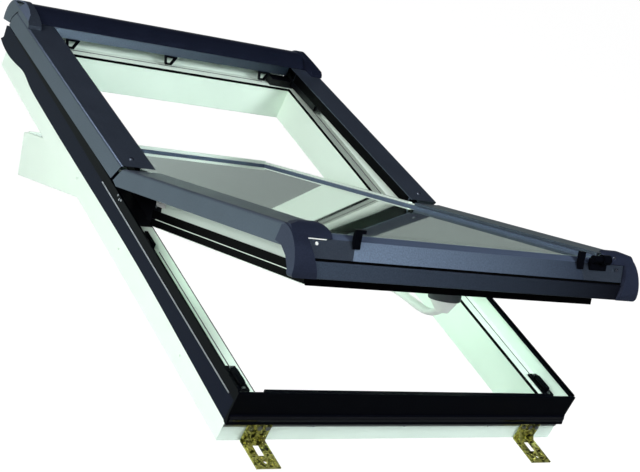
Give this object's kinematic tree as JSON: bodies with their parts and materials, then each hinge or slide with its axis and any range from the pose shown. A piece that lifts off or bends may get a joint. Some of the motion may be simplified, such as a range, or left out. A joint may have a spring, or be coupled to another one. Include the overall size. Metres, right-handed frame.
{
  "type": "roof skylight",
  "caption": "Roof skylight with a white fixed frame, anthracite covers and round hood, and a double-glazed sash that pivots and lifts.",
  "frame": {"origin": "centre of the four fixing holes in the roof brackets, on the room-side plane of the fixed frame, which is also the centre of the frame's outline", "axes": "+X across the window to the right seen from outside, +Y up the slope of the roof towards the hood, +Z out of the roof"},
  "size_m": [0.756, 1.316, 0.5807],
  "materials": {
    "white_pvc": "smooth white window plastic",
    "sash_pvc": "smooth white window plastic",
    "handle_white": "smooth white",
    "latch_white": "smooth white",
    "grey_plastic": "dark grey",
    "anthracite": "anthracite coated aluminium sheet, satin",
    "cap_plastic": "anthracite moulded plastic",
    "black_plastic": "black",
    "black_rubber": "black seal rubber",
    "mill_aluminium": "plain mill aluminium",
    "bead_grey": "grey-blue coated aluminium bead",
    "black_steel": "black coated steel",
    "yellow_zinc": "yellow passivated zinc on steel",
    "steel": "bright zinc plated",
    "clear_glass": "clear float glass"
  },
  "bodies": {
    "frame": {"bracket_screws": "steel", "edge_fin_left": "black_plastic", "edge_fin_right": "black_plastic", "foot_bracket_left": "yellow_zinc", "foot_bracket_right": "yellow_zinc", "frame_head": "white_pvc", "frame_lip": "black_rubber", "frame_sill": "white_pvc", "frame_stile_left": "white_pvc", "frame_stile_right": "white_pvc", "head_bracket_left": "yellow_zinc", "head_bracket_right": "yellow_zinc", "head_hinge_left": "black_steel", "head_hinge_right": "black_steel", "hood_barrel": "anthracite", "hood_clips": "black_plastic", "hood_front_strip": "bead_grey", "keeper_screws": "steel", "keepers": "black_plastic", "side_skirt_left": "black_plastic", "side_skirt_right": "black_plastic", "sill_apron": "black_plastic", "sill_strip": "mill_aluminium", "strikers": "black_plastic", "strip_screws": "steel"},
    "carrier": {"carrier_arm_left": "black_steel", "carrier_arm_right": "black_steel", "cover_screws": "steel", "hood_cap_left": "cap_plastic", "hood_cap_right": "cap_plastic", "upper_cover_left": "anthracite", "upper_cover_right": "anthracite"},
    "sash": {"cap_screws": "steel", "corner_cap_left": "cap_plastic", "corner_cap_right": "cap_plastic", "corner_plate_left": "anthracite", "corner_plate_right": "anthracite", "foot_bead": "bead_grey", "foot_cover_lower": "anthracite", "foot_cover_upper": "anthracite", "foot_hooks": "black_plastic", "foot_seals": "black_rubber", "glazing_bead": "bead_grey", "glazing_pad": "black_rubber", "handle_rosette": "grey_plastic", "inner_pane": "clear_glass", "latches": "latch_white", "lower_cover_left": "anthracite", "lower_cover_right": "anthracite", "outer_pane": "clear_glass", "pane_spacer": "mill_aluminium", "pivot_plate_left": "black_steel", "pivot_plate_right": "black_steel", "sash_bottom_rail": "sash_pvc", "sash_seal_left": "black_rubber", "sash_seal_right": "black_rubber", "sash_stile_left": "sash_pvc", "sash_stile_right": "sash_pvc", "sash_top_rail": "sash_pvc"},
    "handle": {"handle": "handle_white"}
  },
  "joints": [
    {"name": "carrier_tilt", "type": "hinge", "parent": "frame", "child": "carrier", "pos_m": [0, 0.59, 0.1], "axis": [-1, 0, 0], "range_deg": [-2, 30]},
    {"name": "sash_pivot", "type": "hinge", "parent": "carrier", "child": "sash", "pos_m": [0, -0.04629, 0.11722], "axis": [-1, 0, 0], "range_deg": [-23.27, 23]},
    {"name": "handle_turn", "type": "hinge", "parent": "sash", "child": "handle", "pos_m": [0.038, -0.50056, 0.22661], "axis": [0, 0.4269, 0.9043], "range_deg": [0, 90]}
  ]
}
